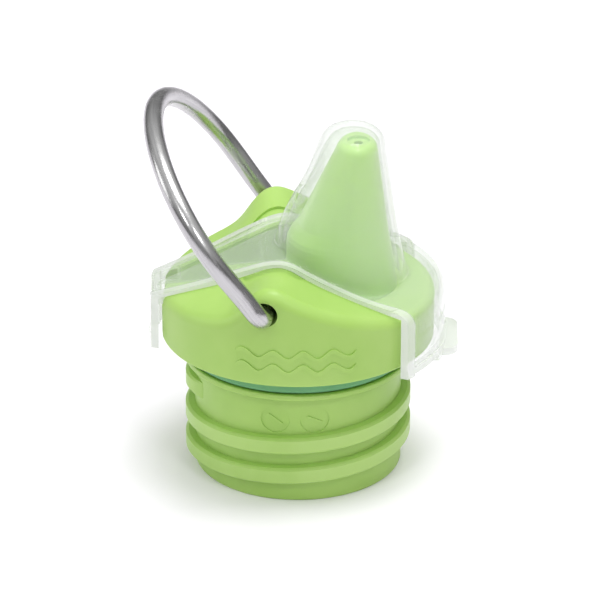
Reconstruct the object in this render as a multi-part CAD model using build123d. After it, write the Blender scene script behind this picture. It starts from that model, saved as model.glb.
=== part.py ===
from build123d import *
from math import pi, sin
import os

os.makedirs("parts", exist_ok=True)

# Screw-in sippy cap for a narrow-mouth children's flask. Millimetres, +Z up.
# Origin: centre of the plug's bottom rim. +X: drinking side and pull tab. Ears at +Y and -Y.

# --- plug and thread ---
plug_r = 21.25              # outside of the plug at the thread root
plug_wall = 2.65
plug_edge_r = 0.6           # rounding of the bottom rim
bore_r = plug_r - plug_wall
thread_crest_r = 23.2
thread_pitch = 6.75
thread_width = 3.7          # ridge width along the axis
thread_front_z = 6.45       # ridge centre where it first passes the -Y side
thread_start_deg = 100
thread_end_deg = 925
thread_fade_deg = 26

# --- seat for the gasket ---
lip_r = 23.4
lip_low_z = 23.6
lip_top_z = 24.95
gasket_gap = 0.04
gasket_out_r = 23.2
gasket_seat = 0.3           # depth of the gasket's recess in the body's underside

# --- upper body ---
body_r = 28.0
body_low_z = 28.9
crest_round = 2.6           # rounding along the outer top edge of each ear
lip_bevel = 0.4             # bevel along the channel's top edges
deck_z = 39.3               # top of the deck inside the channel
deck_r = 27.9
deck_lip_z = 37.0
low_deck_z = 36.4           # lower part of the deck at the narrow end
low_deck_x = -17.0
end_wall_r = 27.8           # end walls of the channel, set back behind the cover
roof_under_z = 35.6         # ceiling of the plug's bore

# --- bail and its pivots ---
wire_r = 2.0
hole_r = 2.55
hole_x = -6.15
hole_z = 44.55
pivot_x = hole_x - 0.26
pivot_z = hole_z - 0.34
dimple_r = 6.5              # shallow round recess on each ear's inner slope, above the hole
dimple_x = -4.3
dimple_y = 10.7
dimple_deep = 0.6
hole_end_y = 17.2           # blind inner ends of the pivot holes
wire_end_gap = 0.4
lean_deg = 35.3             # bail leaning back at rest
bail_half = 31.4
bail_bend_r = 3.0
bail_root_half = 30.4
bail_wide_at = 15.0         # distance from the pivot to the widest place
bail_reach = 39.0

# --- spout ---
spout_wall = 1.7
spout_neck_r = 8.6
spout_neck_x = 7.4
spout_fit = 0.05
spout_top_z = 70.8
tip_left = 8.5
tip_right = 15.8
tip_round = 2.0
drink_hole_r = 0.9

# --- dust cover ---
cover_r = 30.2
cover_top_z = 72.9
cover_wall = 1.2
cover_gap = 0.45            # between the cover's edge and the channel walls
cover_body_gap = 1.05       # between the cover and the body's ends
cover_low_z = 27.3
skirt_low_z = 27.9
cover_step_z = 35.1
cover_step = 0.25
shoulder_z = 38.4           # start of the rounded shoulder
shoulder_round = 3.0
rim_over = 1.8              # how far the rims lie over the ears' edges
rim_lift = 0.3              # gap between a rim and the ear below it
rim_high = 0.55
rim_out = 0.3
spire_root_r = 1.6
vent_r = 2.5
tab_out_x = 32.7
tab_half = 7.5
tab_low_z = 26.5
tab_t = 1.6


# Half-width of the cover's outline, from the narrow end to the drinking end. The channel between
# the ears is narrower by rim_over on each side, so the cover's rims lie on the ears' edges.
outline = [(-31, 6.2), (-20, 9.0), (-6, 12.3), (6, 15.2), (16, 18.4), (31, 23.5)]

# Height of the ears' top along X, at the channel and at the outer wall.
ear_stations = [-31, -22, -16, -13, -11, -9, -7, -5, -2, 2, 8, 14, 20, 31]
ear_inner_z = [37.2, 40.8, 43.3, 44.5, 45.1, 45.6, 46.2, 46.8, 47.2, 45.4, 42.9, 41.1, 39.7, 38.2]
ear_outer_z = [38.0, 39.2, 40.5, 41.8, 44.7, 48.2, 49.8, 50.0, 48.8, 46.8, 44.3, 42.3, 40.5, 38.2]


def channel_face(inset):
    """Plan of the channel between the ears, narrowed by inset on both sides."""
    far = [(x, w - rim_over - inset) for x, w in outline]
    near = [(x, -w + rim_over + inset) for x, w in outline]
    with BuildSketch() as plan:
        with BuildLine():
            Spline(far)
            Line(far[-1], near[-1])
            Spline(near[::-1])
            Line(near[0], far[0])
        make_face()
    return plan.sketch


def rounded_slab(radius, low_z, high_z, top_round):
    """Disc with a rounded top edge."""
    disc = Pos(0, 0, low_z) * Cylinder(radius, high_z - low_z, align=(Align.CENTER, Align.CENTER, Align.MIN))
    return fillet(disc.edges().filter_by(GeomType.CIRCLE).sort_by(Axis.Z)[-1], top_round)


def disc(radius, low_z, high_z, x=0):
    return Pos(x, 0, low_z) * Cylinder(radius, high_z - low_z, align=(Align.CENTER, Align.CENTER, Align.MIN))


# ---------------------------------------------------------------- cap body
def thread_section(deg, scale):
    """One section of the ridge, in the plane through the axis, sunk into the plug wall."""
    height = thread_front_z + thread_pitch * (deg - 270) / 360
    depth = 0.35
    crest = plug_r + (thread_crest_r - plug_r) * scale
    half = thread_width / 2
    with BuildSketch(Plane.XZ) as ridge:
        with BuildLine():
            Polyline(
                (plug_r - depth, -half),
                (plug_r - depth, half),
                (crest - 0.6 * scale, half - 0.12),
                (crest, half - 0.6),
                (crest, -half + 0.45),
                (crest - 0.4 * scale, -half + 0.1),
                close=True,
            )
        make_face()
    return Rot(0, 0, deg) * Pos(0, 0, height) * ridge.sketch


step_deg = 15
sections = []
deg = thread_start_deg
while deg <= thread_end_deg:
    rise = min(1.0, (deg - thread_start_deg) / thread_fade_deg, (thread_end_deg - deg) / thread_fade_deg)
    sections.append(thread_section(deg, max(0.02, sin(rise * pi / 2))))
    deg += step_deg
thread = loft(sections)

plug = disc(plug_r, 0, body_low_z + 1)
plug = fillet(plug.edges().filter_by(GeomType.CIRCLE).sort_by(Axis.Z)[0], plug_edge_r)
lip = disc(lip_r, lip_low_z, lip_top_z)
lip = fillet(lip.edges().filter_by(GeomType.CIRCLE), 0.35)


def ear_profile(heights, y):
    """Closed side view of an ear, with its top line through the given heights."""
    top = list(zip(ear_stations, heights))
    with BuildSketch(Plane.XZ.offset(-y)) as side:
        with BuildLine():
            Spline(top)
            Polyline(top[-1], (top[-1][0], body_low_z), (top[0][0], body_low_z), top[0])
        make_face()
    return side.sketch


def ear_block(side):
    """Ear on one side: inner line by the channel, outer line by the wall."""
    return loft([ear_profile(ear_inner_z, side * 6), ear_profile(ear_outer_z, side * 30)], ruled=True)


round_body = disc(body_r, body_low_z, 60)
round_body = fillet(round_body.edges().filter_by(GeomType.CIRCLE).sort_by(Axis.Z)[0], 0.6)
channel_cut = extrude(Pos(0, 0, body_low_z - 1) * channel_face(0), 40)
ears = []
for side in (1, -1):
    ear = (ear_block(side) & round_body) - channel_cut
    lips = [e for e in ear.edges() if e.center().Z > 38 and abs(e.center().Y) < 14 and e.length > 40]
    ear = chamfer(lips, lip_bevel)
    crest = [e for e in ear.edges() if e.center().Z > 38 and abs(e.center().Y) > 14 and e.length > 40]
    ears.append(fillet(crest, crest_round))

between_ears = extrude(Pos(0, 0, body_low_z - 1) * channel_face(-0.02), 40)
base = (round_body & disc(40, body_low_z, roof_under_z + 0.6)) - channel_cut
base += between_ears & rounded_slab(end_wall_r, body_low_z, low_deck_z, 1.0)
deck = rounded_slab(deck_r, deck_lip_z, deck_z, 1.9) + disc(end_wall_r, low_deck_z - 1, deck_lip_z + 0.5)
deck &= between_ears & Pos(low_deck_x + 30, 0, 40) * Box(60, 80, 40)
body = base + deck + ears[0] + ears[1]
body -= disc(gasket_out_r + 0.1, body_low_z - 1, body_low_z + gasket_seat)
body += plug + lip
for side in (1, -1):
    pivot_hole = Pos(hole_x, side * (hole_end_y + 15), hole_z) * Rot(90, 0, 0) * Cylinder(hole_r, 30)
    skin = ear_block(side) - Pos(0, 0, -dimple_deep) * ear_block(side)
    dimple = skin & (Pos(0, side * dimple_y, 0) * disc(dimple_r, deck_z, 60, dimple_x))
    body = body - pivot_hole - dimple
body -= disc(bore_r, -1, roof_under_z)
body -= disc(spout_neck_r, roof_under_z - 1, deck_z + 1, spout_neck_x)
cap_body = body + (thread & disc(40, 0.4, 40)) - disc(bore_r, -1, roof_under_z)

# Two shallow mould date marks below the lip on the -Y side, each a disc with a raised pointer.
for mark_x, mark_turn in ((-4.2, 35), (3.75, 25)):
    mark_z = 18.3
    well = Pos(mark_x, -plug_r, mark_z) * Rot(90, 0, 0) * Cylinder(2.9, 6)
    pointer = Pos(mark_x, -plug_r, mark_z) * Rot(0, mark_turn, 0) * Box(3.4, 6, 0.5)
    skin = disc(plug_r + 1, 15, 23) - disc(plug_r - 0.2, 15, 23)
    cap_body -= (well - pointer) & skin

# Two raised wave lines on the lower wall of the -Y side, a plain decoration.
wave_count = 4
wave_long = 24.0
wave_rise = 0.85
wave_thick = 1.0
for wave_z in (32.2, 35.2):
    points = []
    for i in range(4 * wave_count + 1):
        points.append((-wave_long / 2 + wave_long * i / (4 * wave_count), wave_z + wave_rise * sin(pi * i / 2)))
    upper = [(x, z + wave_thick) for x, z in points]
    with BuildSketch(Plane.XZ.offset(20)) as wave:
        with BuildLine():
            Spline(points)
            Line(points[-1], upper[-1])
            Spline(upper[::-1])
            Line(upper[0], points[0])
        make_face()
    cap_body += extrude(wave.sketch, 12) & (disc(body_r + 0.25, 30, 38) - disc(body_r - 0.5, 30, 38))

# ---------------------------------------------------------------- gasket
gasket = disc(gasket_out_r, lip_top_z + gasket_gap, body_low_z + gasket_seat - gasket_gap)
gasket -= disc(plug_r + gasket_gap, 20, 30)
gasket_edges = gasket.edges().filter_by(GeomType.CIRCLE).filter_by(lambda e: e.radius > gasket_out_r - 0.1)
gasket = fillet(gasket_edges, 1.0)


# ---------------------------------------------------------------- spout and cover spire
def oval(z, left, right, half):
    """Oval section at a height, from its ends along X and its half-width along Y."""
    with BuildSketch(Plane.XY.offset(z)) as sketch:
        with Locations(((left + right) / 2, 0)):
            Ellipse((right - left) / 2, half)
    return sketch.sketch


# Spout sections from the deck up: height, left end, right end, half-width. The step at z 50 to 53
# is a shoulder on the side away from the drinker.
spout_rings = [
    (deck_z + spout_fit, -2.5, 20.2, 11.1),
    (44.0, -2.45, 19.5, 10.85),
    (48.0, -2.4, 18.9, 10.5),
    (49.6, -2.25, 18.6, 10.3),
    (50.6, -1.9, 18.45, 10.1),
    (51.4, -1.3, 18.3, 9.9),
    (52.1, -0.7, 18.2, 9.75),
    (53.0, 0.0, 18.1, 9.5),
    (57.5, 2.15, 17.55, 8.45),
    (64.0, 5.25, 16.7, 6.95),
    (spout_top_z, tip_left, tip_right, 5.4),
]


def spout_form(shrink):
    """Outside of the spout, or its hollow when shrunk by the wall."""
    s = shrink
    rings = [oval(z, left + s, right - s, half - s) for z, left, right, half in spout_rings[:-1]]
    z, left, right, half = spout_rings[-1]
    rings.append(oval(z - 1.1 * s, left + s, right - s, half - s))
    return loft(rings, ruled=True)


form = spout_form(0)
tip_edge = form.edges().sort_by(Axis.Z)[-1]
form = fillet(tip_edge, tip_round)
neck = disc(spout_neck_r - spout_fit, roof_under_z - 0.5, deck_z + 0.5, spout_neck_x)
flange = disc(spout_neck_r + 2.0, roof_under_z - 2.2, roof_under_z - spout_fit, spout_neck_x)
spout = form + neck + flange - spout_form(spout_wall) - disc(spout_neck_r - spout_wall, 30, 44, spout_neck_x)
tip_x = (tip_left + tip_right) / 2
spout -= disc(2.3, spout_top_z - 0.6, 75, tip_x)
spout -= disc(drink_hole_r, 60, 75, tip_x)

# ---------------------------------------------------------------- bail
rb = bail_bend_r
half_root = bail_root_half
with BuildLine(Plane.YZ) as bail_line:
    Line((hole_end_y + wire_end_gap, 0), (half_root - rb, 0))
    JernArc((half_root - rb, 0), (1, 0), rb, 90)
    Spline(
        (half_root, rb),
        (bail_half, bail_wide_at),
        tangents=((0, 1), (0, 1)),
    )
    EllipticalCenterArc((0, bail_wide_at), bail_half, bail_reach - bail_wide_at, start_angle=0, arc_size=180)
    Spline(
        (-bail_half, bail_wide_at),
        (-half_root, rb),
        tangents=((0, -1), (0, -1)),
    )
    JernArc((-half_root, rb), (0, -1), rb, 90)
    Line((-half_root + rb, 0), (-hole_end_y - wire_end_gap, 0))
bail_path = bail_line.wire()
start = Plane(origin=bail_path @ 0, z_dir=bail_path % 0)
with BuildSketch(start) as wire_end:
    Circle(wire_r)
bail = sweep(wire_end.sketch, path=bail_path)
bail = Pos(pivot_x, 0, pivot_z) * Rot(0, -lean_deg, 0) * bail

# ---------------------------------------------------------------- dust cover
# Height of the cover's roof along X.
roof_stations = [-31, -25, -18, -12.9, -8.4, -5, -2, 2, 6.5, 11, 16.2, 22, 31]
roof_z = [37.9, 40.1, 42.9, 45.2, 47.1, 48.2, 48.3, 46.7, 44.8, 43.2, 41.9, 41.1, 40.4]


def roof_below(lift):
    """Everything below the roof line, raised by lift."""
    line = [(x, z + lift) for x, z in zip(roof_stations, roof_z)]
    with BuildSketch(Plane.XZ.offset(-40)) as side:
        with BuildLine():
            Spline(line)
            Polyline(line[-1], (line[-1][0], 20), (line[0][0], 20), line[0])
        make_face()
    return extrude(side.sketch, 80)


def cover_round(low_z, shrink):
    """Round envelope of the cover: stepped skirt, rounded shoulder, open upward in the middle."""
    r_low = cover_r - shrink
    r_high = cover_r - cover_step - shrink if shrink == 0 else r_low
    bend = shoulder_round - shrink
    with BuildSketch(Plane.XZ) as half:
        with BuildLine():
            Polyline(
                (0, 60),
                (0, low_z),
                (r_low, low_z),
                (r_low, cover_step_z),
                (r_high, cover_step_z + 0.7),
                (r_high, shoulder_z),
            )
            JernArc((r_high, shoulder_z), (0, 1), bend, 90)
            Polyline((r_high - bend, shoulder_z + bend), (r_high - bend, 60), (0, 60))
        make_face()
    return revolve(half.sketch, Axis.Z)


def spire(wall):
    """Tall part of the cover over the spout."""
    s = wall
    rings = [
        oval(38.0, -4.4 + s, 22.4 - s, 13.2 - s),
        oval(46.0, -4.4 + s, 21.4 - s, 13.0 - s),
        oval(52.0, -3.9 + s, 20.2 - s, 12.2 - s),
        oval(58.0, -1.3 + s, 19.3 - s, 10.8 - s),
        oval(66.0, 2.5 + s, 18.2 - s, 8.9 - s),
        oval(cover_top_z - s, 5.5 + s, 17.6 - s, 6.9 - s),
    ]
    tower = loft(rings)
    return fillet(tower.edges().sort_by(Axis.Z)[-1], 2.9 - s)


# Filled outside: roof and skirt inside the channel's width, then spire, side rims and bottom rim.
wall_sides = extrude(Pos(0, 0, 20) * channel_face(cover_gap), 50)
inside_sides = extrude(Pos(0, 0, 20) * channel_face(cover_gap + cover_wall), 50)
outline_sides = extrude(Pos(0, 0, 20) * channel_face(-rim_over), 50)
outside = outline_sides & cover_round(skirt_low_z, 0) & roof_below(0)
joined = outside + spire(0)
root = []
for edge in joined.edges():
    middle = edge @ 0.5
    if 39 < middle.Z < 52 and (middle.X - 9) ** 2 + middle.Y**2 < 13.7**2:
        root.append(edge)
joined = fillet(root, spire_root_r)
rims = (outline_sides - wall_sides) & cover_round(cover_low_z, -rim_out) & roof_below(rim_high)
skirt_rim = disc(cover_r + rim_out, skirt_low_z, skirt_low_z + 1.5) & outline_sides
# Pull tab: a flat tongue below the skirt at the drinking end, flared where it joins the skirt.
with BuildSketch(Plane.XY.offset(tab_low_z)) as tongue:
    with Locations(((tab_out_x + 26) / 2, 0)):
        RectangleRounded(tab_out_x - 26, 2 * tab_half, 2.9)
tab = extrude(tongue.sketch, tab_t)
hanger = (disc(cover_r + rim_out, tab_low_z, skirt_low_z + 1) & Pos(30, 0, 30) * Box(12, 2 * tab_half + 5, 20))
outside_all = joined + rims + skirt_rim + tab + hanger

# Vent boss on the spire's sloping side.
vent = Plane(origin=(0.65, -4.5, 60.2), z_dir=(-0.84, -0.37, 0.4)).location
vent_ring = vent * (Cylinder(vent_r, 1.0) - Cylinder(vent_r - 0.9, 4))

hollow = cover_round(20, cover_wall) & inside_sides & roof_below(-cover_wall)
hollow += spire(cover_wall)
clear_r = body_r + cover_body_gap
clearance = disc(clear_r, 20, low_deck_z + cover_gap)
clear_deck = rounded_slab(clear_r, 20, deck_z + cover_gap, 1.9)
clearance += clear_deck & Pos(low_deck_x - cover_gap + 30, 0, 40) * Box(60, 80, 60)
for side in (1, -1):
    clearance += (Pos(0, 0, rim_lift) * ear_block(side)) & (disc(clear_r, 20, 60) - wall_sides)
dust_cover = outside_all + vent_ring - hollow - clearance

export_step(cap_body, "parts/cap_body.step")
export_step(gasket, "parts/gasket.step")
export_step(spout, "parts/spout.step")
export_step(bail, "parts/bail.step")
export_step(dust_cover, "parts/dust_cover.step")
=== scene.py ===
import bpy, bmesh
from math import radians, sin, cos
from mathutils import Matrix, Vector

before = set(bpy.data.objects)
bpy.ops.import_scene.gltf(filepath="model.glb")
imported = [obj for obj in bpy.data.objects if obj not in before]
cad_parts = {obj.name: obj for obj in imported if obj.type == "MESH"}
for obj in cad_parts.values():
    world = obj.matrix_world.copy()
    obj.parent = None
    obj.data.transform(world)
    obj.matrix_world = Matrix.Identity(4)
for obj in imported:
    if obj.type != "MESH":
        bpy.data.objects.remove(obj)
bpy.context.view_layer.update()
print("frame loaded:", sorted(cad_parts))

# Camera, at the height and turn the cap is seen from
view = dict(
    distance=0.9,
    elevation=25.11,
    azimuth=1.0,
    aimHeight=0.03517,
    lens=264.2,
    shiftX=0.00335,
)


def addCamera(v):
    data = bpy.data.cameras.new("viewCamera")
    data.lens = v["lens"]
    data.sensor_width = 36.0
    data.shift_x = v["shiftX"]
    data.clip_start = 0.05
    data.clip_end = 10.0
    cam = bpy.data.objects.new("viewCamera", data)
    el, az = radians(v["elevation"]), radians(v["azimuth"])
    back = Vector((sin(az) * cos(el), -cos(az) * cos(el), sin(el)))
    cam.location = Vector((0, 0, v["aimHeight"])) + back * v["distance"]
    cam.rotation_euler = back.to_track_quat("Z", "Y").to_euler()
    bpy.context.collection.objects.link(cam)
    bpy.context.scene.camera = cam


addCamera(view)
print("camera placed")


# Node helpers
def addNode(tree, kind, at=(0, 0), **settings):
    node = tree.nodes.new(kind)
    node.location = at
    for key, value in settings.items():
        setattr(node, key, value)
    return node


def join(tree, source, target):
    tree.links.new(source, target)


def mathNode(tree, operation, first, second=None, at=(0, 0)):
    node = addNode(tree, "ShaderNodeMath", at, operation=operation)
    for slot, value in enumerate((first, second)):
        if value is None:
            continue
        if isinstance(value, (int, float)):
            node.inputs[slot].default_value = value
        else:
            join(tree, value, node.inputs[slot])
    return node.outputs[0]


def rampNode(tree, value, low, high, outLow=0.0, outHigh=1.0, at=(0, 0), smooth=True):
    node = addNode(tree, "ShaderNodeMapRange", at, interpolation_type="SMOOTHSTEP" if smooth else "LINEAR")
    join(tree, value, node.inputs["Value"])
    node.inputs["From Min"].default_value = low
    node.inputs["From Max"].default_value = high
    node.inputs["To Min"].default_value = outLow
    node.inputs["To Max"].default_value = outHigh
    return node.outputs["Result"]


def mixColor(tree, factor, first, second, at=(0, 0)):
    node = addNode(tree, "ShaderNodeMix", at, data_type="RGBA")
    for slot, value in ((0, factor), (6, first), (7, second)):
        if isinstance(value, (int, float)):
            node.inputs[slot].default_value = value
        elif isinstance(value, tuple):
            node.inputs[slot].default_value = (*value, 1.0)
        else:
            join(tree, value, node.inputs[slot])
    return node.outputs[2]


def newMaterial(name, settings):
    mat = bpy.data.materials.new(name)
    mat.use_nodes = True
    shader = mat.node_tree.nodes["Principled BSDF"]
    for key, value in settings.items():
        shader.inputs[key].default_value = value
    return mat, mat.node_tree, shader


def placeGroup(tree, group, at=(0, 0), **values):
    node = addNode(tree, "ShaderNodeGroup", at)
    node.node_tree = group
    for key, value in values.items():
        socket = node.inputs[key.replace("_", " ")]
        if isinstance(value, (int, float)):
            socket.default_value = value
        elif isinstance(value, tuple):
            socket.default_value = (*value, 1.0)
        else:
            join(tree, value, socket)
    return node


def addBump(tree, height, look, at):
    node = addNode(tree, "ShaderNodeBump", at)
    node.inputs["Strength"].default_value = look["bump"]
    node.inputs["Distance"].default_value = look["bumpDepth"]
    join(tree, height, node.inputs["Height"])
    return node.outputs["Normal"]


def mottledRoughness(tree, mottle, middle, below, above):
    return rampNode(tree, mottle, 0.3, 0.7, middle - below, middle + above)


# How the skin of every moulded piece is marked
grainLook = dict(
    poreDetail=4,
    poreRoughness=0.6,
    mottleScale=60,
    mottleDetail=5,
    scratchScale=170,
    scratchDetail=3,
    scratchDistortion=0.6,
    scratchTurn=(0.5, 0.9, 0.3),
    scratchStretch=(1.0, 9.0, 9.0),
    scratchThin=(0.66, 0.70),
    scratchPatch=(0.45, 0.6),
)


def buildMouldGrain(look):
    # Fine skin of a moulded plastic: pores, slow mottle and thin handling scratches
    group = bpy.data.node_groups.new("mouldGrain", "ShaderNodeTree")
    face = group.interface
    for name in ("Pore Size", "Scratches"):
        face.new_socket(name, in_out="INPUT", socket_type="NodeSocketFloat")
    for name in ("Height", "Mottle", "Scratch Mask"):
        face.new_socket(name, in_out="OUTPUT", socket_type="NodeSocketFloat")
    gin = addNode(group, "NodeGroupInput", (-900, 0))
    gout = addNode(group, "NodeGroupOutput", (900, 0))
    place = addNode(group, "ShaderNodeTexCoord", (-900, 300)).outputs["Object"]
    poreScale = mathNode(group, "DIVIDE", 1.0, gin.outputs["Pore Size"], (-700, -100))
    pore = addNode(group, "ShaderNodeTexNoise", (-450, 0))
    pore.inputs["Detail"].default_value = look["poreDetail"]
    pore.inputs["Roughness"].default_value = look["poreRoughness"]
    join(group, place, pore.inputs["Vector"])
    join(group, poreScale, pore.inputs["Scale"])
    mottle = addNode(group, "ShaderNodeTexNoise", (-450, 300))
    mottle.inputs["Scale"].default_value = look["mottleScale"]
    mottle.inputs["Detail"].default_value = look["mottleDetail"]
    join(group, place, mottle.inputs["Vector"])
    bend = addNode(group, "ShaderNodeMapping", (-650, -350))
    bend.inputs["Rotation"].default_value = look["scratchTurn"]
    bend.inputs["Scale"].default_value = look["scratchStretch"]
    join(group, place, bend.inputs["Vector"])
    lines = addNode(group, "ShaderNodeTexNoise", (-450, -350))
    lines.inputs["Scale"].default_value = look["scratchScale"]
    lines.inputs["Detail"].default_value = look["scratchDetail"]
    lines.inputs["Distortion"].default_value = look["scratchDistortion"]
    join(group, bend.outputs["Vector"], lines.inputs["Vector"])
    thin = rampNode(group, lines.outputs["Fac"], *look["scratchThin"], at=(-200, -350))
    patch = rampNode(group, mottle.outputs["Fac"], *look["scratchPatch"], at=(-200, 300))
    scratch = mathNode(group, "MULTIPLY", thin, patch, (50, -300))
    scratch = mathNode(group, "MULTIPLY", scratch, gin.outputs["Scratches"], (250, -300))
    height = mathNode(group, "SUBTRACT", pore.outputs["Fac"], scratch, (450, 0))
    join(group, height, gout.inputs["Height"])
    join(group, mottle.outputs["Fac"], gout.inputs["Mottle"])
    join(group, scratch, gout.inputs["Scratch Mask"])
    return group


def buildRadialPlace():
    # Distance from the cap's axis, height, X, and distance from the middle plane, all in millimetres
    group = bpy.data.node_groups.new("radialPlace", "ShaderNodeTree")
    face = group.interface
    for name in ("Radius", "Height", "Forward", "Side"):
        face.new_socket(name, in_out="OUTPUT", socket_type="NodeSocketFloat")
    gout = addNode(group, "NodeGroupOutput", (700, 0))
    place = addNode(group, "ShaderNodeTexCoord", (-700, 0)).outputs["Object"]
    millimetres = addNode(group, "ShaderNodeVectorMath", (-500, 0), operation="SCALE")
    millimetres.inputs["Scale"].default_value = 1000
    join(group, place, millimetres.inputs[0])
    parts = addNode(group, "ShaderNodeSeparateXYZ", (-300, 0))
    join(group, millimetres.outputs[0], parts.inputs[0])
    x, y, z = parts.outputs
    squares = mathNode(group, "ADD", mathNode(group, "MULTIPLY", x, x), mathNode(group, "MULTIPLY", y, y))
    radius = mathNode(group, "SQRT", squares, at=(300, 0))
    join(group, radius, gout.inputs["Radius"])
    join(group, z, gout.inputs["Height"])
    join(group, x, gout.inputs["Forward"])
    join(group, mathNode(group, "ABSOLUTE", y), gout.inputs["Side"])
    return group


mouldGrain = buildMouldGrain(grainLook)
radialPlace = buildRadialPlace()
print("shared groups built")


# Cap body: satin moulded plastic
bodyLook = dict(
    green=(0.395, 0.610, 0.150),
    shade=(0.360, 0.580, 0.125),
    worn=(0.450, 0.660, 0.200),
    roughness=0.43,
    poreSize=0.00042,
    scratches=0.35,
    bump=0.05,
    bumpDepth=0.0003,
    crestAt=(22.7, 23.15),     # distance from the axis where the thread's rubbed crest starts and is full, mm
    threadTop=(22.5, 21.5),    # height where the rubbing stops, mm
    footTop=(0.7, 0.1),        # height of the rubbed foot rim, mm
    rubShare=(0.15, 0.6),
    rubPolish=0.12,
    scratchDull=0.2,
)


def buildBodyPlastic(look):
    mat, tree, shader = newMaterial("bodyGreenPlastic", {
        "IOR": 1.49,
        "Subsurface Weight": 0.12,
        "Subsurface Radius": (1.0, 1.0, 0.4),
        "Subsurface Scale": 0.002,
        "Specular IOR Level": 0.42,
    })
    grain = placeGroup(tree, mouldGrain, (-1000, 0), Pore_Size=look["poreSize"], Scratches=look["scratches"])
    where = placeGroup(tree, radialPlace, (-1000, -350))
    slow = rampNode(tree, grain.outputs["Mottle"], 0.35, 0.65, at=(-750, 200))
    base = mixColor(tree, slow, look["shade"], look["green"], (-500, 200))
    crest = rampNode(tree, where.outputs["Radius"], *look["crestAt"], at=(-750, -200))
    below = rampNode(tree, where.outputs["Height"], *look["threadTop"], at=(-750, -400))
    rub = mathNode(tree, "MULTIPLY", crest, below, (-550, -300))
    foot = rampNode(tree, where.outputs["Height"], *look["footTop"], at=(-750, -600))
    rub = mathNode(tree, "MAXIMUM", rub, foot, (-400, -300))
    broken = rampNode(tree, grain.outputs["Mottle"], 0.3, 0.6, *look["rubShare"])
    rub = mathNode(tree, "MULTIPLY", rub, broken, (-250, -300))
    tinted = mixColor(tree, rub, base, look["worn"], (-250, 200))
    join(tree, tinted, shader.inputs["Base Color"])
    rough = mottledRoughness(tree, grain.outputs["Mottle"], look["roughness"], 0.04, 0.05)
    rough = mathNode(tree, "SUBTRACT", rough, mathNode(tree, "MULTIPLY", rub, look["rubPolish"]))
    dull = mathNode(tree, "MULTIPLY", grain.outputs["Scratch Mask"], look["scratchDull"])
    rough = mathNode(tree, "ADD", rough, dull)
    join(tree, rough, shader.inputs["Roughness"])
    join(tree, addBump(tree, grain.outputs["Height"], look, (-250, -600)), shader.inputs["Normal"])
    return mat


# Gasket: matte silicone ring
gasketLook = dict(
    teal=(0.150, 0.400, 0.175),
    dusty=(0.220, 0.470, 0.260),
    dustShare=0.35,
    roughness=0.55,
    poreSize=0.0003,
    scratches=0.2,
    bump=0.08,
    bumpDepth=0.0003,
)


def buildGasketRubber(look):
    mat, tree, shader = newMaterial("gasketTealSilicone", {
        "IOR": 1.41,
        "Subsurface Weight": 0.15,
        "Subsurface Radius": (0.6, 1.0, 0.8),
        "Subsurface Scale": 0.0015,
    })
    grain = placeGroup(tree, mouldGrain, (-900, 0), Pore_Size=look["poreSize"], Scratches=look["scratches"])
    dust = rampNode(tree, grain.outputs["Mottle"], 0.45, 0.75, 0.0, look["dustShare"], at=(-600, 100))
    join(tree, mixColor(tree, dust, look["teal"], look["dusty"], (-300, 100)), shader.inputs["Base Color"])
    rough = mottledRoughness(tree, grain.outputs["Mottle"], look["roughness"], 0.05, 0.1)
    join(tree, rough, shader.inputs["Roughness"])
    join(tree, addBump(tree, grain.outputs["Height"], look, (-250, -300)), shader.inputs["Normal"])
    return mat


# Spout: soft silicone
spoutLook = dict(
    green=(0.385, 0.680, 0.135),
    pale=(0.450, 0.700, 0.200),
    paleAt=(44, 72),       # heights where it starts to pale and is palest, mm
    paleShare=(0.5, 0.9),
    roughness=0.4,
    poreSize=0.0003,
    scratches=0.15,
    bump=0.04,
    bumpDepth=0.0003,
)


def buildSpoutSilicone(look):
    mat, tree, shader = newMaterial("spoutGreenSilicone", {
        "IOR": 1.41,
        "Subsurface Weight": 0.3,
        "Subsurface Radius": (0.8, 1.0, 0.3),
        "Subsurface Scale": 0.003,
        "Sheen Weight": 0.15,
        "Sheen Roughness": 0.5,
    })
    grain = placeGroup(tree, mouldGrain, (-1000, 0), Pore_Size=look["poreSize"], Scratches=look["scratches"])
    where = placeGroup(tree, radialPlace, (-1000, -350))
    up = rampNode(tree, where.outputs["Height"], *look["paleAt"], at=(-700, -200))
    uneven = rampNode(tree, grain.outputs["Mottle"], 0.2, 0.7, *look["paleShare"])
    lighter = mathNode(tree, "MULTIPLY", up, uneven)
    join(tree, mixColor(tree, lighter, look["green"], look["pale"], (-300, 100)), shader.inputs["Base Color"])
    rough = mottledRoughness(tree, grain.outputs["Mottle"], look["roughness"], 0.05, 0.08)
    join(tree, rough, shader.inputs["Roughness"])
    join(tree, addBump(tree, grain.outputs["Height"], look, (-250, -300)), shader.inputs["Normal"])
    return mat


# Bail: brushed stainless wire
bailLook = dict(
    steel=(0.60, 0.60, 0.595),
    dark=(0.42, 0.42, 0.425),
    roughness=0.22,
    lean=35.3,           # degrees the wire's plane leans back
    brushScale=2600,
    brushStretch=(1.0, 0.03, 0.03),  # streaks run along the wire
    brushDetail=5,
    brushRoughness=0.65,
    brushDull=0.06,
    cloudScale=220,
    cloudDetail=4,
    bump=0.05,
    bumpDepth=0.00008,
)


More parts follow.
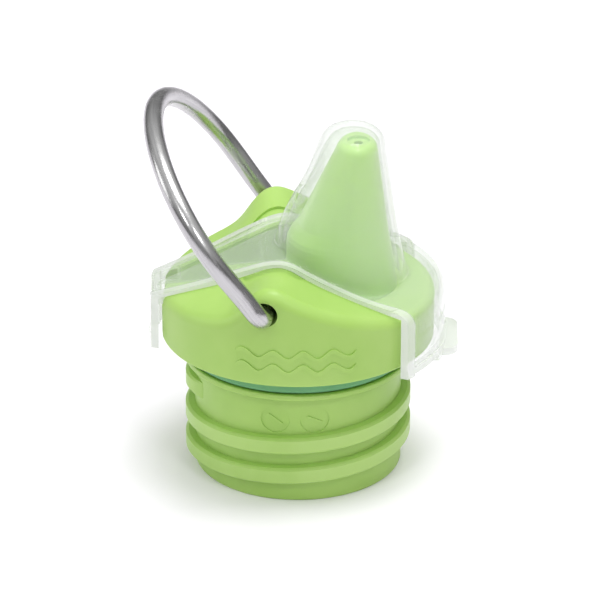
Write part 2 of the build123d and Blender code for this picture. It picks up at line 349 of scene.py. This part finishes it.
def buildBailSteel(look):
    mat, tree, shader = newMaterial("bailBrushedSteel", {"Metallic": 1.0})
    place = addNode(tree, "ShaderNodeTexCoord", (-1400, 0)).outputs["Object"]
    turn = addNode(tree, "ShaderNodeMapping", (-1200, 0))
    turn.inputs["Rotation"].default_value = (0, radians(look["lean"]), 0)
    join(tree, place, turn.inputs["Vector"])
    stretch = addNode(tree, "ShaderNodeMapping", (-1000, 0))
    stretch.inputs["Scale"].default_value = look["brushStretch"]
    join(tree, turn.outputs["Vector"], stretch.inputs["Vector"])
    streak = addNode(tree, "ShaderNodeTexNoise", (-800, 100))
    streak.inputs["Scale"].default_value = look["brushScale"]
    streak.inputs["Detail"].default_value = look["brushDetail"]
    streak.inputs["Roughness"].default_value = look["brushRoughness"]
    join(tree, stretch.outputs["Vector"], streak.inputs["Vector"])
    cloud = addNode(tree, "ShaderNodeTexNoise", (-800, -200))
    cloud.inputs["Scale"].default_value = look["cloudScale"]
    cloud.inputs["Detail"].default_value = look["cloudDetail"]
    join(tree, place, cloud.inputs["Vector"])
    lines = rampNode(tree, streak.outputs["Fac"], 0.3, 0.7, at=(-550, 100), smooth=False)
    join(tree, mixColor(tree, lines, look["dark"], look["steel"], (-300, 150)), shader.inputs["Base Color"])
    rough = mottledRoughness(tree, cloud.outputs["Fac"], look["roughness"], 0.04, 0.06)
    rough = mathNode(tree, "ADD", rough, mathNode(tree, "MULTIPLY", lines, look["brushDull"]))
    join(tree, rough, shader.inputs["Roughness"])
    join(tree, addBump(tree, streak.outputs["Fac"], look, (-250, -300)), shader.inputs["Normal"])
    return mat


# Dust cover: clear plastic, whiter where it is thick, with painted shade where the sheet turns edge-on
coverLook = dict(
    clear=(0.66, 0.76, 0.62),
    # painted shade: greyer colour where the sheet is seen edge-on, standing in for the darker outline that
    # refraction gives
    grazingPaintedShade=(0.58, 0.625, 0.565),
    thick=(0.76, 0.80, 0.74),
    faceAlpha=0.15,
    edgeAlpha=0.60,
    rimAlpha=0.64,
    edgePower=3.2,
    shadowShare=0.3,   # how much of that stops light on its way in
    roughness=0.13,
    haze=0.07,
    poreSize=0.0009,
    scratches=0.5,
    scratchDull=0.25,
    bump=0.03,
    bumpDepth=0.0004,
    outline=[(-31, 6.2), (-20, 9.0), (-6, 12.3), (6, 15.2), (16, 18.4), (31, 23.5)],  # X and half-width, mm
    outlineSpan=30,      # the curve below holds half-widths as shares of this
    rimWide=1.9,
    footTop=(30.0, 29.0),  # height of the thick bottom rim, mm
    tabFrom=(30.4, 30.9),  # X where the pull tab starts, mm
)


def buildCoverPlastic(look):
    mat, tree, shader = newMaterial("coverClearPlastic", {
        "IOR": 1.49,
        "Coat Weight": 1.0,
        "Coat Roughness": 0.05,
    })
    marks = dict(Pore_Size=look["poreSize"], Scratches=look["scratches"])
    grain = placeGroup(tree, mouldGrain, (-1400, 300), **marks)
    where = placeGroup(tree, radialPlace, (-1400, -200))
    curve = addNode(tree, "ShaderNodeFloatCurve", (-1100, -200))
    points = curve.mapping.curves[0].points
    low, high = look["outline"][0][0], look["outline"][-1][0]
    span = look["outlineSpan"]
    points[0].location = (0.0, look["outline"][0][1] / span)
    points[1].location = (1.0, look["outline"][-1][1] / span)
    for x, width in look["outline"][1:-1]:
        points.new((x - low) / (high - low), width / span)
    curve.mapping.update()
    along = rampNode(tree, where.outputs["Forward"], low, high, at=(-1250, -200), smooth=False)
    join(tree, along, curve.inputs["Value"])
    width = mathNode(tree, "MULTIPLY", curve.outputs["Value"], span, (-800, -200))
    inward = mathNode(tree, "SUBTRACT", width, where.outputs["Side"], (-650, -200))
    rim = rampNode(tree, inward, look["rimWide"] + 0.5, look["rimWide"] - 0.3, at=(-450, -200))
    foot = rampNode(tree, where.outputs["Height"], *look["footTop"], at=(-450, -400))
    tab = rampNode(tree, where.outputs["Forward"], *look["tabFrom"], at=(-450, -600))
    thick = mathNode(tree, "MAXIMUM", mathNode(tree, "MAXIMUM", rim, foot), tab, (-200, -300))
    edge = addNode(tree, "ShaderNodeLayerWeight", (-450, 0))
    edge.inputs["Blend"].default_value = 0.5
    turned = mathNode(tree, "POWER", edge.outputs["Facing"], look["edgePower"], (-300, 0))
    faceOn, edgeOn = look["faceAlpha"], look["edgeAlpha"]
    alpha = rampNode(tree, turned, 0.0, 0.85, faceOn, edgeOn, at=(-200, 0), smooth=False)
    haze = rampNode(tree, grain.outputs["Mottle"], 0.3, 0.75, 0.0, look["haze"])
    alpha = mathNode(tree, "ADD", alpha, haze)
    alpha = mathNode(tree, "MAXIMUM", alpha, mathNode(tree, "MULTIPLY", thick, look["rimAlpha"]))
    ray = addNode(tree, "ShaderNodeLightPath", (-450, 600))
    shadowRay, diffuseRay = ray.outputs["Is Shadow Ray"], ray.outputs["Is Diffuse Ray"]
    passing = mathNode(tree, "MAXIMUM", shadowRay, diffuseRay, (-200, 600))
    share = rampNode(tree, passing, 0.0, 1.0, 1.0, look["shadowShare"], at=(0, 600), smooth=False)
    join(tree, mathNode(tree, "MULTIPLY", alpha, share, (100, 300)), shader.inputs["Alpha"])
    # painted edge shade: the colour turns greyer as the sheet turns edge-on to the view
    sheetWithEdgeShade = mixColor(tree, turned, look["clear"], look["grazingPaintedShade"], (-350, 300))
    join(tree, mixColor(tree, thick, sheetWithEdgeShade, look["thick"], (-200, 300)), shader.inputs["Base Color"])
    rough = mottledRoughness(tree, grain.outputs["Mottle"], look["roughness"], 0.05, 0.06)
    dull = mathNode(tree, "MULTIPLY", grain.outputs["Scratch Mask"], look["scratchDull"])
    rough = mathNode(tree, "ADD", rough, dull)
    join(tree, rough, shader.inputs["Roughness"])
    join(tree, addBump(tree, grain.outputs["Height"], look, (-250, -700)), shader.inputs["Normal"])
    return mat


finishes = {
    "cap_body": buildBodyPlastic(bodyLook),
    "gasket": buildGasketRubber(gasketLook),
    "spout": buildSpoutSilicone(spoutLook),
    "bail": buildBailSteel(bailLook),
    "dust_cover": buildCoverPlastic(coverLook),
}
for name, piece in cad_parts.items():
    piece.data.materials.clear()
    piece.data.materials.append(finishes[name])
print("finishes on:", sorted(finishes))

# Floor
floorLook = dict(white=(0.88, 0.855, 0.905), roughness=0.8, glow=0.07, half=4.0)


def buildFloor(look):
    mesh = bpy.data.meshes.new("floor")
    bm = bmesh.new()
    bmesh.ops.create_grid(bm, x_segments=8, y_segments=8, size=look["half"])
    bm.to_mesh(mesh)
    bm.free()
    floor = bpy.data.objects.new("floor", mesh)
    bpy.context.collection.objects.link(floor)
    mat, tree, shader = newMaterial("floorPaper", {"Roughness": look["roughness"], "Specular IOR Level": 0.2})
    shader.inputs["Base Color"].default_value = (*look["white"], 1.0)
    shader.inputs["Emission Color"].default_value = (1.0, 0.99, 1.0, 1.0)
    shader.inputs["Emission Strength"].default_value = look["glow"]
    mesh.materials.append(mat)


buildFloor(floorLook)

# Light
skyLook = dict(horizon=0.12, middle=0.34, top=0.76, middleAt=0.35, topAt=0.75)
lampAim = Vector((0, 0, 0.035))
lamps = {
    "overhead": dict(at=(0.12, 0.02, 1.1), size=0.5, power=7.4),
    "rightBox": dict(at=(0.36, -0.72, 0.80), size=0.2, power=1.5),
    "leftBox": dict(at=(-0.38, -0.70, 0.78), size=0.2, power=1.3),
    "sideBox": dict(at=(-0.9, 0.1, 0.30), size=0.4, power=1.2),
}


def buildSky(look):
    world = bpy.context.scene.world or bpy.data.worlds.new("studio")
    bpy.context.scene.world = world
    world.use_nodes = True
    tree = world.node_tree
    ground = tree.nodes["Background"]
    place = addNode(tree, "ShaderNodeTexCoord", (-900, 0))
    parts = addNode(tree, "ShaderNodeSeparateXYZ", (-700, 0))
    join(tree, place.outputs["Generated"], parts.inputs[0])
    ramp = addNode(tree, "ShaderNodeValToRGB", (-450, 0))
    stops = ramp.color_ramp.elements
    stops[0].position, stops[0].color = 0.0, (look["horizon"],) * 3 + (1,)
    stops[1].position, stops[1].color = look["topAt"], (look["top"],) * 3 + (1,)
    middle = stops.new(look["middleAt"])
    middle.color = (look["middle"],) * 3 + (1,)
    join(tree, parts.outputs["Z"], ramp.inputs["Fac"])
    join(tree, ramp.outputs["Color"], ground.inputs["Color"])
    ground.inputs["Strength"].default_value = 1.0


def addLamp(name, lamp):
    data = bpy.data.lights.new(name, "AREA")
    data.size = lamp["size"]
    data.energy = lamp["power"]
    ob = bpy.data.objects.new(name, data)
    ob.location = lamp["at"]
    ob.rotation_euler = (Vector(lamp["at"]) - lampAim).to_track_quat("Z", "Y").to_euler()
    bpy.context.collection.objects.link(ob)


buildSky(skyLook)
for name, lamp in lamps.items():
    addLamp(name, lamp)
bpy.context.scene.view_settings.view_transform = "Standard"
print("floor and light set")
